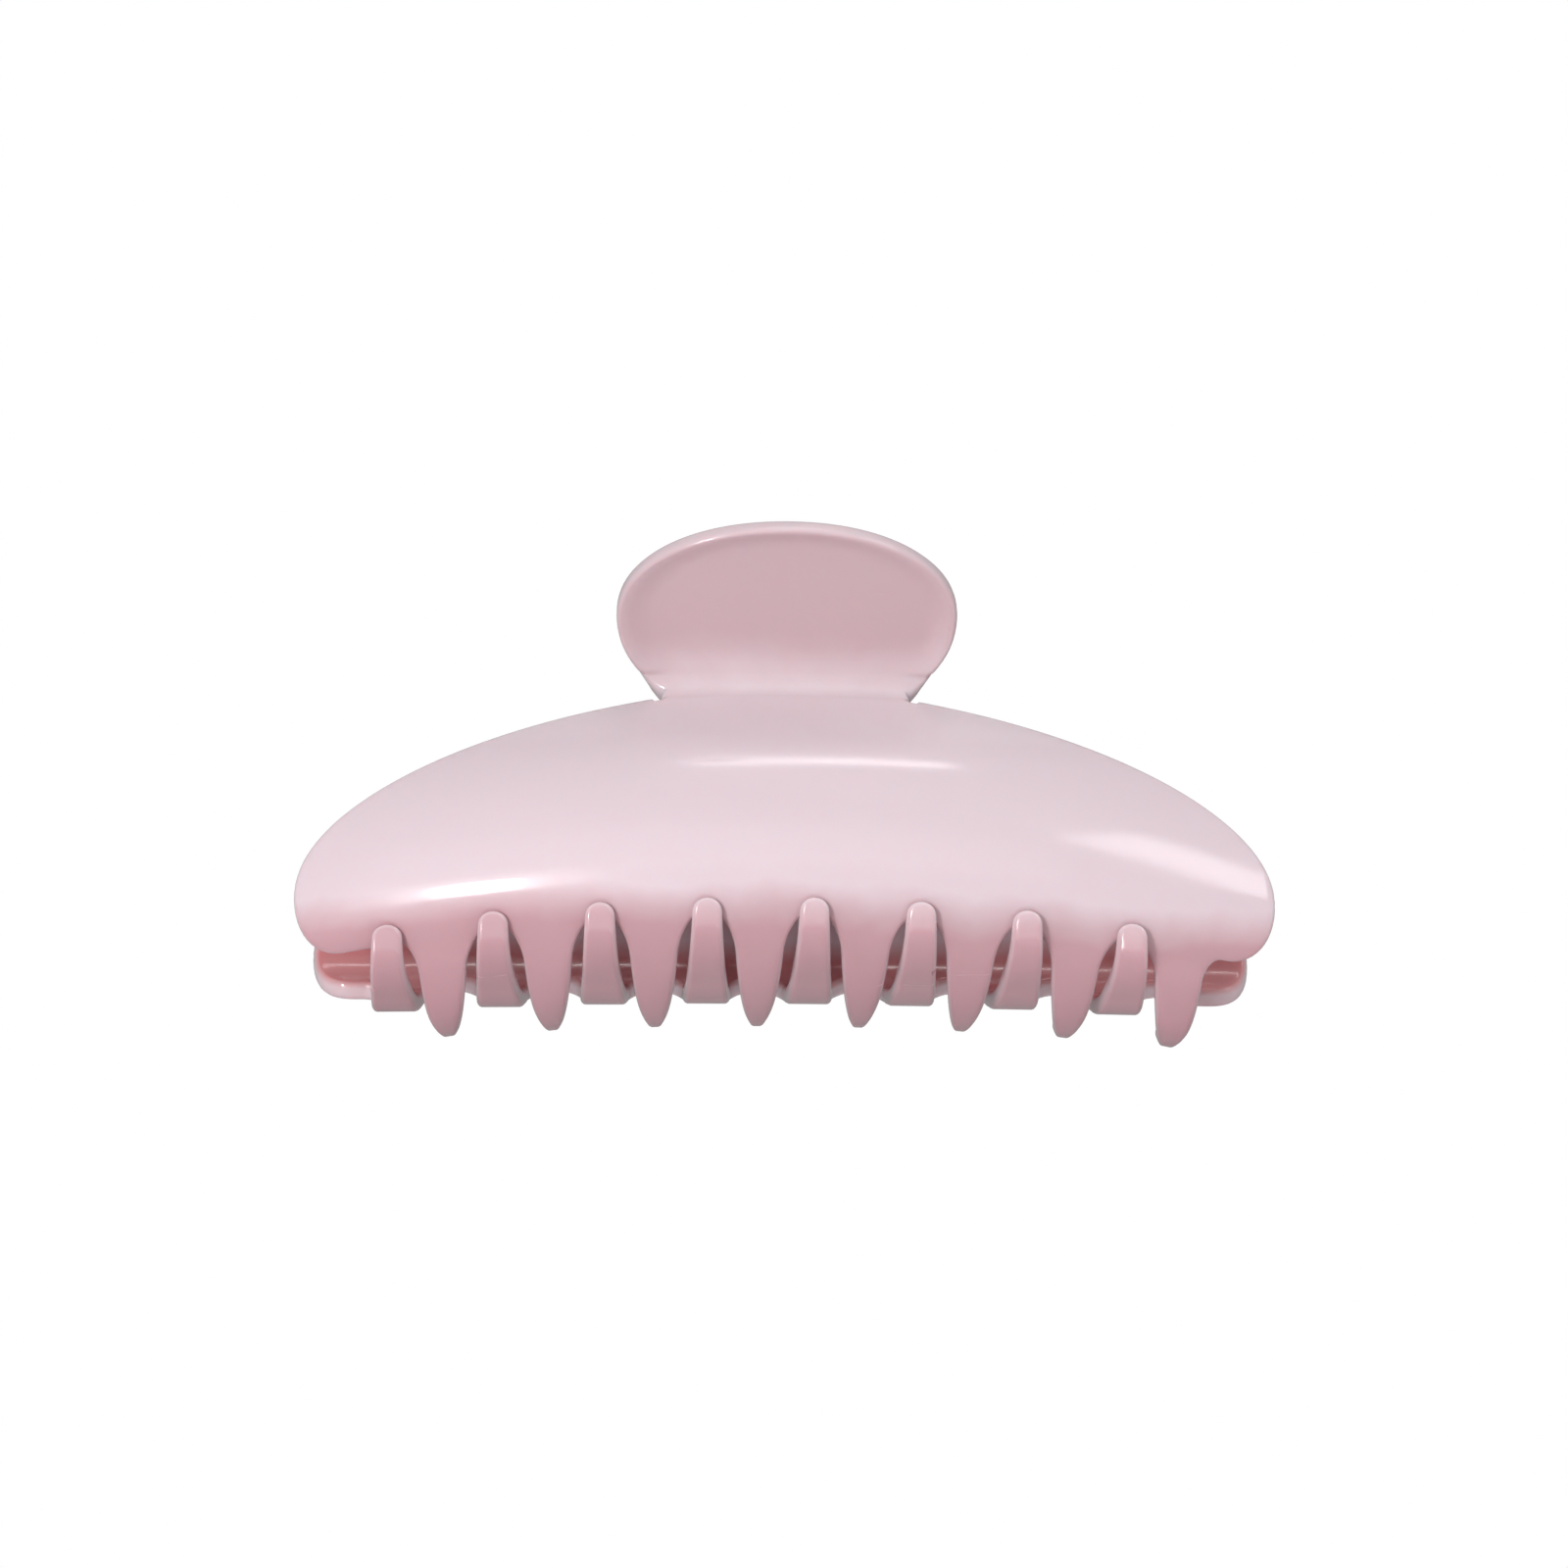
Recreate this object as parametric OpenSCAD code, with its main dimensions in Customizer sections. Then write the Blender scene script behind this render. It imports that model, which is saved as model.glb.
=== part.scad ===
// Claw clip: two curved jaws on one pin, closed by a torsion spring.
// +X runs along the hinge, +Z points up to the thumb tabs and the front jaw is on -Y.
// The origin is under the hinge, at the height of the lowest teeth.

/* [Overall] */
// Length of the clip along the hinge
clip_length = 109.4; // [85:0.2:135]
// Height of the hinge axis above the widest part of the jaws
hinge_rise = 22.3; // [18:0.1:27]
// Number of sides on round parts
facets = 48; // [24:4:96]

/* [Shell] */
// Wall thickness of the jaw
wall = 2.4; // [1.8:0.1:3]
// How far the widest part of a jaw lies from the middle plane
shoulder_out = 17.3; // [15:0.1:20]
// Radius of the turn under the shoulder
shoulder_radius = 8; // [6:0.2:10]
// Angle of the turn under the shoulder
shoulder_turn = 50; // [44:1:56]
// Radius of the bow that the jaw follows from end to end
bow_radius = 198; // [160:2:240]
// Tilt of that bow, which drops both ends of the jaw
bow_tilt = 23; // [15:1:30]
// Radius of the lower corners of the shell, seen from the front
corner_radius = 5.6; // [3:0.2:8]

/* [Teeth] */
// Distance between neighbouring teeth of one jaw
tooth_pitch = 11.7; // [10.5:0.1:14]
// Length at each end of the jaw that holds no tooth
end_margin = 6; // [5:0.5:10]
// Width of a tooth at its root
root_width = 5.7; // [4.8:0.1:6.2]
// Width of a tooth where its taper starts, just past the root
tooth_width = 4.9; // [4.2:0.1:5.4]
// Width of the front jaw's pointed tips
front_tip_width = 1.3; // [1:0.1:3]
// Width of the rear jaw's blunt tips
rear_tip_width = 3.4; // [2.4:0.1:3.6]
// Thickness of a tooth
tooth_thickness = 2.1; // [1.6:0.1:2.6]
// Radius of the first part of a tooth's curl
curl_radius = 26; // [22:0.5:30]
// Angle of the first part of a tooth's curl
curl_turn = 50; // [44:1:56]
// Radius of the last part of a tooth's curl
tip_radius = 16; // [13:0.5:20]
// Angle of the last part of a front tooth's curl, which ends inside the rear jaw
front_tip_turn = 20; // [12:1:26]
// Angle of the last part of a rear tooth's curl, which ends outside the front jaw
rear_tip_turn = 44; // [36:1:50]
// Height of the gaps between teeth, above the teeth's roots
arch_rise = 3; // [2.4:0.1:5]

/* [Thumb tab] */
// Half width of the tab
tab_half_width = 19.45; // [16:0.1:24]
// Length of the tab from its crease to its tip
tab_length = 19.9; // [16:0.1:24]
// Lean of the tab away from upright
tab_lean = 60; // [48:1:64]
// Height of the crease above the hinge axis
crease_rise = 3.2; // [2.8:0.1:5]
// Half width of the neck under the tab
neck_half_width = 15.2; // [13.5:0.1:18]
// Radius of the thick roll that joins the tab to the shell
neck_roll = 1.9; // [1.5:0.1:2.2]

/* [Hinge and spring] */
// Diameter of the steel pin
pin_d = 2; // [1.6:0.1:2.4]
// Radial clearance between the pin and the ears that turn on it
pin_clearance = 0.06; // [0.03:0.01:0.1]
// Width of one hinge ear
ear_width = 2.6; // [2:0.1:3]
// Wall of a hinge ear around the pin
ear_wall = 2; // [1.6:0.1:2.2]
// Gap between two ears, and between an ear and the spring
ear_gap = 0.4; // [0.3:0.05:0.8]
// Diameter of the spring wire
wire_d = 1.2; // [0.8:0.1:1.4]
// Clearance between the pin and the coil
coil_play = 1.2; // [0.8:0.1:1.6]
// Clearance between the coil and the neck of each shell
neck_clearance = 0.8; // [0.5:0.1:1.2]
// Number of whole turns of the coil
coil_turns = 5; // [3:1:6]
// Distance up the tab at which a spring leg presses on it
leg_reach = 10; // [7:0.5:11]
// Clearance between a spring leg and the tab's inner face
leg_clearance = 0.05; // [0.02:0.01:0.2]

/* [Hidden] */
pink = [0.94, 0.76, 0.79];
steel = [0.72, 0.73, 0.75];
$fn = facets;
past = 1;  // how far a cut runs past what it cuts

// points along an arc of the side profile, as [distance out, height]
function arc(c, r, from, to, steps) =
    [for (i = [0:steps]) let (a = from + (to - from) * i / steps) c + r * [cos(a), sin(a)]];
function on(c, r, a) = c + r * [cos(a), sin(a)];

// places of the front jaw's teeth; the rear jaw is turned round, so its teeth fall between them
teeth = floor((clip_length - 2 * end_margin) / tooth_pitch);
first_tooth = tooth_pitch / 4 - (teeth - 1) / 2 * tooth_pitch;
last_tooth = first_tooth + (teeth - 1) * tooth_pitch;
gap_width = tooth_pitch - root_width;

// how far the bow carries a tooth's root inwards and down at a place along the clip
root_bow = bow_radius - shoulder_radius * (1 - cos(shoulder_turn)) * cos(bow_tilt);
function bow(x) = (root_bow - sqrt(root_bow * root_bow - x * x)) * [cos(bow_tilt), sin(bow_tilt)];

// the lowest teeth are the last ones, and they stand at zero height
shoulder_height = curl_radius - (curl_radius - shoulder_radius) * sin(shoulder_turn) + bow(last_tooth)[1];
hinge_height = shoulder_height + hinge_rise;

// the neck of each shell leaves room for the spring coil
ear_radius = pin_d / 2 + ear_wall;
coil_radius = pin_d / 2 + coil_play + wire_d / 2;
neck_out = coil_radius + wire_d / 2 + neck_clearance + wall;
neck_rise = 1.4;  // height of the shell's top edge above the hinge axis

// centres of the four arcs of the side profile, each tangent to the next
neck_in = shoulder_out - neck_out;
side_radius = (neck_in * neck_in + pow(hinge_rise + neck_rise, 2)) / (2 * neck_in);
side_c = [shoulder_out - side_radius, shoulder_height];
shoulder_c = [shoulder_out - shoulder_radius, shoulder_height];
root_angle = -shoulder_turn;
curl_c = on(shoulder_c, shoulder_radius - curl_radius, root_angle);
turn_angle = root_angle - curl_turn;
tip_c = on(curl_c, curl_radius - tip_radius, turn_angle);

root = on(shoulder_c, shoulder_radius, root_angle);
full_reach = root[0] - on(tip_c, tip_radius, turn_angle - rear_tip_turn)[0];
crease = [neck_out + 0.6, hinge_height + crease_rise];
roll_c = crease - [neck_roll - 0.1, 0.8];
shell_top = asin((hinge_rise + neck_rise) / side_radius);

half_length = clip_length / 2;
half_sweep = asin(half_length / bow_radius) + 3;
bow_centre = bow_radius - shoulder_out * cos(bow_tilt) - shoulder_height * sin(bow_tilt);

// turns a side profile about the bow's tilted axis
module bowed()
    rotate([-bow_tilt, 0, 0])
        translate([0, bow_centre, 0])
            rotate([0, 0, -90 - half_sweep])
                rotate_extrude(angle = 2 * half_sweep, $fn = 4 * facets)
                    translate([bow_centre, 0])
                        rotate(-bow_tilt) children();

// stands a drawing of distance out and height square to X, between two places along the clip
module across(from, to)
    translate([to, 0, 0])
        rotate([90, 0, -90])
            linear_extrude(to - from) children();

module shell_profile()
    polygon(concat(
        arc(side_c, side_radius, shell_top, 0, 8),
        arc(shoulder_c, shoulder_radius, 0, root_angle, 6),
        arc(shoulder_c, shoulder_radius - wall, root_angle, 0, 6),
        arc(side_c, side_radius - wall, 0, shell_top, 8)));

// a quarter of an ellipse whose sides are a little straighter (below 2) or squarer (above 2)
function quarter(width, rise, power) =
    [for (a = [0:7.5:90]) [width * pow(cos(a), 2 / power), rise * pow(sin(a), 2 / power)]];

// the shell seen from the front: nearly an ellipse above the shoulder, a round corner below it
end_height = shoulder_height - 2.9;
shell_rise = hinge_height - end_height + neck_rise;
module shell_outline() {
    upper = [for (p = quarter(half_length, shell_rise, 1.8)) p + [0, end_height]];
    corner = arc([half_length - corner_radius, end_height], corner_radius, -75, -15, 4);
    side = concat([[half_length - corner_radius, -past]], corner, upper);
    polygon(concat(side, [for (i = [len(side) - 1:-1:0]) [-side[i][0], side[i][1]]]));
}

// the round-topped gap beside a tooth, through which a tooth of the other jaw passes
module gap(x) {
    top = root[1] + arch_rise - bow(x)[1];
    translate([x, 0, 0])
        rotate([90, 0, 0])
            linear_extrude(4 * shoulder_out, center = true) {
                translate([0, top - gap_width / 2]) circle(d = gap_width);
                translate([-gap_width / 2, -past]) square([gap_width, top - gap_width / 2 + past]);
            }
}

module shell()
    difference() {
        intersection() {
            bowed() shell_profile();
            rotate([90, 0, 0])
                linear_extrude(4 * shoulder_out, center = true) shell_outline();
        }
        for (i = [0:teeth - 1]) gap(first_tooth + (i - 0.5) * tooth_pitch);
    }

// a tooth's reach is shortened towards the ends, as the jaws come closer together there
module tooth(x, tip_width, tip_turn) {
    moved = bow(x);
    squeeze = 1 - 2 * moved[0] / full_reach;
    function placed(p) = [root[0] - moved[0] - squeeze * (root[0] - p[0]), p[1] - moved[1]];
    end_angle = turn_angle - tip_turn;
    tip = on(tip_c, tip_radius, end_angle);
    outer = concat(
        arc(shoulder_c, shoulder_radius, root_angle + 22, root_angle + 6, 2),
        arc(curl_c, curl_radius, root_angle, turn_angle + 5, 7),
        arc(tip_c, tip_radius, turn_angle, end_angle, 6));
    inner = concat(
        arc(tip_c, tip_radius - tooth_thickness, end_angle + 2, turn_angle, 6),
        arc(curl_c, curl_radius - tooth_thickness, turn_angle + 5, root_angle, 7),
        arc(shoulder_c, shoulder_radius - wall, root_angle + 6, root_angle + 22, 2));
    // half widths at distances out, seen from above
    widths = [
        [root_width / 2, root[0] + 4],
        [root_width / 2, root[0] - 0.5],
        [tooth_width / 2, root[0] - 5],
        [tip_width / 2, tip[0] + 0.9],
        [tip_width / 4, tip[0] - 0.1]];
    side = [for (w = widths) [w[0], -placed([w[1], 0])[0]]];
    intersection() {
        across(x - root_width, x + root_width)
            polygon([for (p = concat(outer, inner)) placed(p)]);
        translate([x, 0, -past])
            linear_extrude(hinge_height)
                polygon(concat(side, [for (i = [len(side) - 1:-1:0]) [-side[i][0], side[i][1]]]));
    }
}

// the tab drawn flat: X is along the clip and Y runs from the crease to the tip
tab_widest = 0.37 * tab_length;
module tab_outline() {
    upper = [for (p = quarter(tab_half_width, tab_length - tab_widest, 2.15)) p + [0, tab_widest]];
    under = arc([0, 0], 1, -80, -12, 5);
    in = neck_half_width - 1.2;
    lower = [for (p = under)
        [in + (tab_half_width - in) * p[0], tab_widest + (tab_widest + 1.8) * p[1]]];
    half = concat(lower, upper);
    polygon(concat(half, [for (i = [len(half) - 2:-1:0]) [-half[i][0], half[i][1]]]));
}

// lays a flat drawing of the tab in its leaning plane, with Z pointing to the tab's inner side
module on_tab()
    translate([0, -crease[0], crease[1]])
        rotate([90 - tab_lean, 0, 180]) children();

module tab() {
    on_tab() linear_extrude(wall) tab_outline();
    translate([-neck_half_width, -roll_c[0], roll_c[1]])
        rotate([0, 90, 0]) cylinder(r = neck_roll, h = 2 * neck_half_width);
}

// place of the end of a spring leg, measured from the hinge axis
lean = [sin(tab_lean), cos(tab_lean)];
inward = [-cos(tab_lean), sin(tab_lean)];
leg_end = crease + leg_reach * lean + (wall + wire_d / 2 + leg_clearance) * inward - [0, hinge_height];
leg_angle = atan2(leg_end[1], leg_end[0]) - asin(coil_radius / norm(leg_end));

// the coil turns from one leg's tangent point to the other's
coil_pitch = 1.04 * wire_d;
coil_sweep = 360 * (coil_turns + 1) - 2 * leg_angle;
coil_length = coil_pitch * coil_sweep / 360;
inner_ear = coil_length / 2 + wire_d / 2 + ear_gap;
outer_ear = inner_ear + ear_width + ear_gap;
pin_length = 2 * (outer_ear + ear_width);

// two low rails on the tab's inner face that keep a spring leg in place
rail = 1;
rail_length = 6;
module rails()
    for (side = [-1, 1])
        on_tab()
            translate([coil_length / 2 + side * (wire_d / 2 + ear_gap + rail / 2) - rail / 2,
                leg_reach - rail_length + 1, wall - 0.2])
                cube([rail, rail_length, rail + 0.2]);

// one ear: a round eye for the pin and a web to the shell
module ear(from) {
    across(from, from + ear_width)
        polygon([
            [0, hinge_height - ear_radius],
            [roll_c[0] + 2.4, hinge_height - ear_radius],
            [roll_c[0] + 0.6, hinge_height + 0.8],
            [roll_c[0] - 0.6, roll_c[1] + neck_roll / 2],
            [0, hinge_height + ear_radius]]);
    translate([from, 0, hinge_height])
        rotate([0, 90, 0]) cylinder(r = ear_radius, h = ear_width);
}

// a jaw standing as the front one, with its bore this much wider than the pin all round
module jaw(clearance, tip_width, tip_turn)
    difference() {
        union() {
            shell();
            for (i = [0:teeth - 1]) tooth(first_tooth + i * tooth_pitch, tip_width, tip_turn);
            tab();
            rails();
            ear(-outer_ear - ear_width);
            ear(inner_ear);
        }
        translate([-pin_length, 0, hinge_height])
            rotate([0, 90, 0]) cylinder(d = pin_d + 2 * clearance, h = 2 * pin_length);
    }

// a wire swept along a path that lies nearly square to X
sides = 8;
function ring(path, i) =
    let (
        ahead = path[min(i + 1, len(path) - 1)] - path[max(i - 1, 0)],
        n = cross(ahead, [1, 0, 0]) / norm(cross(ahead, [1, 0, 0])),
        m = cross(n, ahead) / norm(ahead))
    [for (k = [0:sides - 1]) path[i] + wire_d / 2 * (cos(k * 360 / sides) * n + sin(k * 360 / sides) * m)];

module wire(path) {
    last = (len(path) - 1) * sides;
    points = [for (i = [0:len(path) - 1]) each ring(path, i)];
    skin = [for (i = [0:len(path) - 2], k = [0:sides - 1])
        let (a = i * sides + k, b = i * sides + (k + 1) % sides) [a, b, b + sides, a + sides]];
    ends = [[for (k = [sides - 1:-1:0]) k], [for (k = [0:sides - 1]) last + k]];
    polyhedron(points, concat(skin, ends));
}

module front_jaw() color(pink) jaw(pin_clearance, front_tip_width, front_tip_turn);

// the pin is pressed into the rear jaw, so that bore has no clearance
module rear_jaw() color(pink) rotate([0, 0, 180]) jaw(0, rear_tip_width, rear_tip_turn);

coil_steps = 6 * ceil(coil_sweep / 108);
module torsion_spring() {
    coil = [for (i = [0:coil_steps])
        let (a = 90 - leg_angle - coil_sweep * i / coil_steps)
        [coil_length * (i / coil_steps - 0.5), coil_radius * cos(a), coil_radius * sin(a)]];
    front_leg = [-coil_length / 2, -leg_end[0], leg_end[1]];
    rear_leg = [coil_length / 2, leg_end[0], leg_end[1]];
    color(steel) translate([0, 0, hinge_height]) wire(concat([front_leg], coil, [rear_leg]));
}

module hinge_pin()
    color(steel)
        translate([-pin_length / 2, 0, hinge_height])
            rotate([0, 90, 0]) cylinder(d = pin_d, h = pin_length);

front_jaw();
rear_jaw();
torsion_spring();
hinge_pin();
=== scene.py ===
from math import acos, asin, atan2, ceil, cos, degrees, pi, radians, sin, sqrt

import bmesh
import bpy
from mathutils import Matrix, Vector


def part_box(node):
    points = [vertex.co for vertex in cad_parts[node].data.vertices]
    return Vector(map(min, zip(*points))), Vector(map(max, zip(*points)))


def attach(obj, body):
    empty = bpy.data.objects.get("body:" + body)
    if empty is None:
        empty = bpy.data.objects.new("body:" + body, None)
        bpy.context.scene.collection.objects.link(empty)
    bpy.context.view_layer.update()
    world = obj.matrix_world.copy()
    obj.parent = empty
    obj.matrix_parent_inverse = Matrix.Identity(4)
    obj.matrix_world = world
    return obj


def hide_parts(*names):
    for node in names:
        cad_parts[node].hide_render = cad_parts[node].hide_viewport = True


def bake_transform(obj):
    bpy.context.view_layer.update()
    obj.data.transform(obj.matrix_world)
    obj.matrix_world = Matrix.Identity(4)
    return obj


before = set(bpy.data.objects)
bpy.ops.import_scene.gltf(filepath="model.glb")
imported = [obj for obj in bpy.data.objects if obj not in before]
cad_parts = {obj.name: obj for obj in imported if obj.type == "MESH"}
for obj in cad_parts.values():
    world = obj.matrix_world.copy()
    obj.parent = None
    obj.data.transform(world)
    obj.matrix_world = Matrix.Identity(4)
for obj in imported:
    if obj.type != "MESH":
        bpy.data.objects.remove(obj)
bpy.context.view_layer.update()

scene = bpy.context.scene
mm = 0.001

# what the frame says about the clip, in millimetres
jawLow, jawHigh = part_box("front_jaw")
pinLow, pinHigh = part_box("hinge_pin")
clipLength = (jawHigh[0] - jawLow[0]) / mm
hingeHeight = (pinLow[2] + pinHigh[2]) / 2 / mm
pinLength = (pinHigh[0] - pinLow[0]) / mm
pinRadius = (pinHigh[2] - pinLow[2]) / 2 / mm


def smooth(value, start, end):
    t = min(1, max(0, (value - start) / (end - start)))
    return t * t * (3 - 2 * t)


# camera, low in front of the clip and looking up at it
cameraSetup = {
    "azimuth": -1.5,
    "elevation": -23,
    "distance": 368,
    "aimHeight": 29.2,
    "lens": 72.7,
    "sensor": 36,
}


def addCamera(setup):
    data = bpy.data.cameras.new("camera")
    camera = bpy.data.objects.new("camera", data)
    scene.collection.objects.link(camera)
    azimuth, elevation = radians(setup["azimuth"]), radians(setup["elevation"])
    back = Vector((sin(azimuth) * cos(elevation), -cos(azimuth) * cos(elevation), sin(elevation)))
    aim = Vector((0, 0, setup["aimHeight"] * mm))
    camera.location = aim + back * setup["distance"] * mm
    camera.rotation_euler = (-back).to_track_quat("-Z", "Y").to_euler()
    data.lens, data.sensor_width = setup["lens"], setup["sensor"]
    data.clip_start, data.clip_end = 0.01, 20
    scene.camera = camera


addCamera(cameraSetup)
print("camera ready")

# side profile of a jaw: millimetres out from the middle plane and up
profile = {
    "shoulderOut": 17.3,      # widest point
    "hingeRise": 22.3,        # hinge above the shoulder
    "neckOut": 6.6,           # top of the side, beside the spring
    "neckRise": 1.4,
    "shoulderRadius": 8,
    "shoulderTurn": 50,
    "curlRadius": 26,
    "curlTurn": 50,
    "tipRadius": 16,
    "creaseOut": 7.2,         # where the tab's plane starts
    "creaseRise": 3.2,
    "creaseRadius": 1.6,
    "tabLean": 60,
    "bowRadius": 198,         # the jaw is bowed from end to end
    "bowTilt": 23,
    "wall": 2.4,
}
bowTilt = radians(profile["bowTilt"])
tabLean = radians(profile["tabLean"])
shoulderHeight = hingeHeight - profile["hingeRise"]
neckIn = profile["shoulderOut"] - profile["neckOut"]
neckUp = profile["hingeRise"] + profile["neckRise"]
sideRadius = (neckIn ** 2 + neckUp ** 2) / (2 * neckIn)
sideCentre = Vector((profile["shoulderOut"] - sideRadius, shoulderHeight))
shoulderCentre = Vector((profile["shoulderOut"] - profile["shoulderRadius"], shoulderHeight))


def polar(angle):
    return Vector((cos(angle), sin(angle)))


rootAngle = -radians(profile["shoulderTurn"])
shoulderLength = -rootAngle * profile["shoulderRadius"]
rootPoint = shoulderCentre + polar(rootAngle) * profile["shoulderRadius"]
curlCentre = shoulderCentre + polar(rootAngle) * (profile["shoulderRadius"] - profile["curlRadius"])
curlLength = radians(profile["curlTurn"]) * profile["curlRadius"]
turnAngle = rootAngle - radians(profile["curlTurn"])
tipCentre = curlCentre + polar(turnAngle) * (profile["curlRadius"] - profile["tipRadius"])

# the crease is a round hollow, tangent to the side and to the tab's plane
tabPoint = Vector((profile["creaseOut"], hingeHeight + profile["creaseRise"]))
tabNormal = polar(-tabLean)
tabDirection = Vector((sin(tabLean), cos(tabLean)))
creaseRadius = profile["creaseRadius"]
creaseReach = (creaseRadius - (sideCentre - tabPoint).dot(tabNormal)) / (sideRadius + creaseRadius)
creaseAngle = acos(creaseReach) - tabLean
creaseCentre = sideCentre + polar(creaseAngle) * (sideRadius + creaseRadius)
creaseStart = sideRadius * creaseAngle
tabStart = creaseStart + creaseRadius * (creaseAngle + tabLean)
tabFoot = creaseCentre - tabNormal * creaseRadius
tabOffset = tabStart - (tabFoot - tabPoint).dot(tabDirection)
bowCentre = (profile["bowRadius"] - profile["shoulderOut"] * cos(bowTilt) - shoulderHeight * sin(bowTilt))


# a place on the outer face, as a length along the profile: above the shoulder is positive
def profileAt(along):
    if along > tabStart:
        return tabFoot + tabDirection * (along - tabStart), tabNormal
    if along > creaseStart:
        normal = polar(creaseAngle - (along - creaseStart) / creaseRadius)
        return creaseCentre - normal * creaseRadius, normal
    if along > 0:
        normal = polar(along / sideRadius)
        return sideCentre + normal * sideRadius, normal
    if along > -shoulderLength:
        normal = polar(along / profile["shoulderRadius"])
        return shoulderCentre + normal * profile["shoulderRadius"], normal
    below = -along - shoulderLength
    if below < curlLength:
        normal = polar(rootAngle - below / profile["curlRadius"])
        return curlCentre + normal * profile["curlRadius"], normal
    normal = polar(turnAngle - (below - curlLength) / profile["tipRadius"])
    return tipCentre + normal * profile["tipRadius"], normal


def bowAt(x, point):
    radius = bowCentre + point.x * cos(bowTilt) + point.y * sin(bowTilt)
    return radius - sqrt(radius * radius - x * x), x / radius


# the flat blank of a jaw: X along the clip, Y along the profile
blank = {
    "outlineRise": 28.75,     # the outline seen from the front
    "outlineBend": 1.26,
    "outlineRound": 0.51,
    "endDrop": 2.9,           # widest level of the outline, below the shoulder
    "cornerWidth": 5.6,
    "edgeDrop": 1.2,          # lower edge at both ends, below the teeth's roots
    "tabHalfWidth": 19.45,
    "tabLength": 19.85,
    "tabWidest": 7.6,
    "tabPower": 2.1,
    "tabFootHalf": 12.5,
    "tabFootRise": 9.6,
    "notchX": 15.15,
    "notchWidth": 0.95,
    "notchHeight": 0.75,
    "notchAlong": 25.9,
    "rim": 0.55,              # how far the rounded edge reaches in from the outline
    "rimDepth": 0.8,
    "rimSteps": 10,
    "cell": 0.75,
    "fineCell": 0.28,
    "firstRow": 0.35,
    "outlineSteps": 40,
    "outlineCrowding": 1.7,   # points lie closer together towards the ends
}
teethSetup = {
    "count": 8,
    "pitch": 11.7,
    "filletWidth": 2,
    "sideStep": 1.4,
    "archSteps": 18,
    "endRound": 0.75,
    "columns": 16,
}
frontTeeth = {
    "length": 28.27,
    "rootHalf": 2.9,
    "taperLength": 30.5,
    "taperPower": 1.6,
    "tipHalf": 0.8,
    "archHeight": 6,
    "archFoot": 6.3,
}
rearTeeth = {
    "length": 34.2,
    "rootHalf": 2.85,
    "taperLength": 0,
    "tipHalf": 1.62,
    "flare": 0.05,
    "archHeight": 4,
    "archFoot": 3,
}
pitch = teethSetup["pitch"]
firstTooth = pitch / 4 - (teethSetup["count"] - 1) / 2 * pitch
toothPlaces = [firstTooth + pitch * i for i in range(teethSetup["count"])]
halfLength = clipLength / 2


def softMax(a, b, blend):
    return (a + b + sqrt((a - b) ** 2 + blend * blend)) / 2


# half width of a tooth at a distance below its root
def toothHalf(teeth, below):
    if teeth["taperLength"]:
        taper = (max(0, below) / teeth["taperLength"]) ** teeth["taperPower"]
        return softMax(teeth["tipHalf"] - 0.03, teeth["rootHalf"] * (1 - taper), 0.25)
    flared = teeth["tipHalf"] + teeth["flare"] * (teeth["length"] - teeth["tipHalf"] - below)
    return -softMax(-flared, -teeth["rootHalf"], 0.15)


def heightAt(x, along):
    point = profileAt(along)[0]
    inward = bowAt(x, point)[0]
    return point.y - inward * sin(bowTilt)


# length along the profile at which the outer face reaches a height
def alongAt(x, height):
    low, high = -shoulderLength, creaseStart + 1
    for step in range(40):
        middle = (low + high) / 2
        if heightAt(x, middle) < height:
            low = middle
        else:
            high = middle
    return low


def ellipse(centre, width, height, start, end, steps, power=2):
    points = []
    for i in range(steps + 1):
        angle = radians(start + (end - start) * i / steps)
        c, s = cos(angle), sin(angle)
        x = width * abs(c) ** (2 / power) * (1 if c > 0 else -1)
        y = height * abs(s) ** (2 / power) * (1 if s > 0 else -1)
        points.append((centre[0] + x, centre[1] + y))
    return points


# the outline from the tab's tip down to the lower corner, on the +X side
def upperHalf():
    b = blank
    tabTop = tabOffset + b["tabWidest"]
    tabRise = b["tabLength"] - b["tabWidest"]
    points = ellipse((0, tabTop), b["tabHalfWidth"], tabRise, 90, 0, 28, b["tabPower"])
    footWidth = b["tabHalfWidth"] - b["tabFootHalf"]
    points += ellipse((b["tabFootHalf"], tabTop), footWidth, b["tabFootRise"], -5, -75, 14)
    points += ellipse((b["notchX"], b["notchAlong"]), b["notchWidth"], b["notchHeight"], 135, 255, 10)
    endHeight = shoulderHeight - b["endDrop"]
    first, steps = b["notchX"] / halfLength, b["outlineSteps"]
    for i in range(steps):
        share = 1 - (1 - first) * (1 - i / steps) ** b["outlineCrowding"]
        rise = b["outlineRise"] * (1 - share ** b["outlineBend"]) ** b["outlineRound"]
        points.append((halfLength * share, alongAt(halfLength * share, endHeight + rise)))
    widest = alongAt(halfLength, endHeight)
    corner = (halfLength - b["cornerWidth"], widest)
    lower = shoulderLength + b["edgeDrop"] + widest
    points += ellipse(corner, b["cornerWidth"], lower, 0, -90, 14)
    return points


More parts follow.
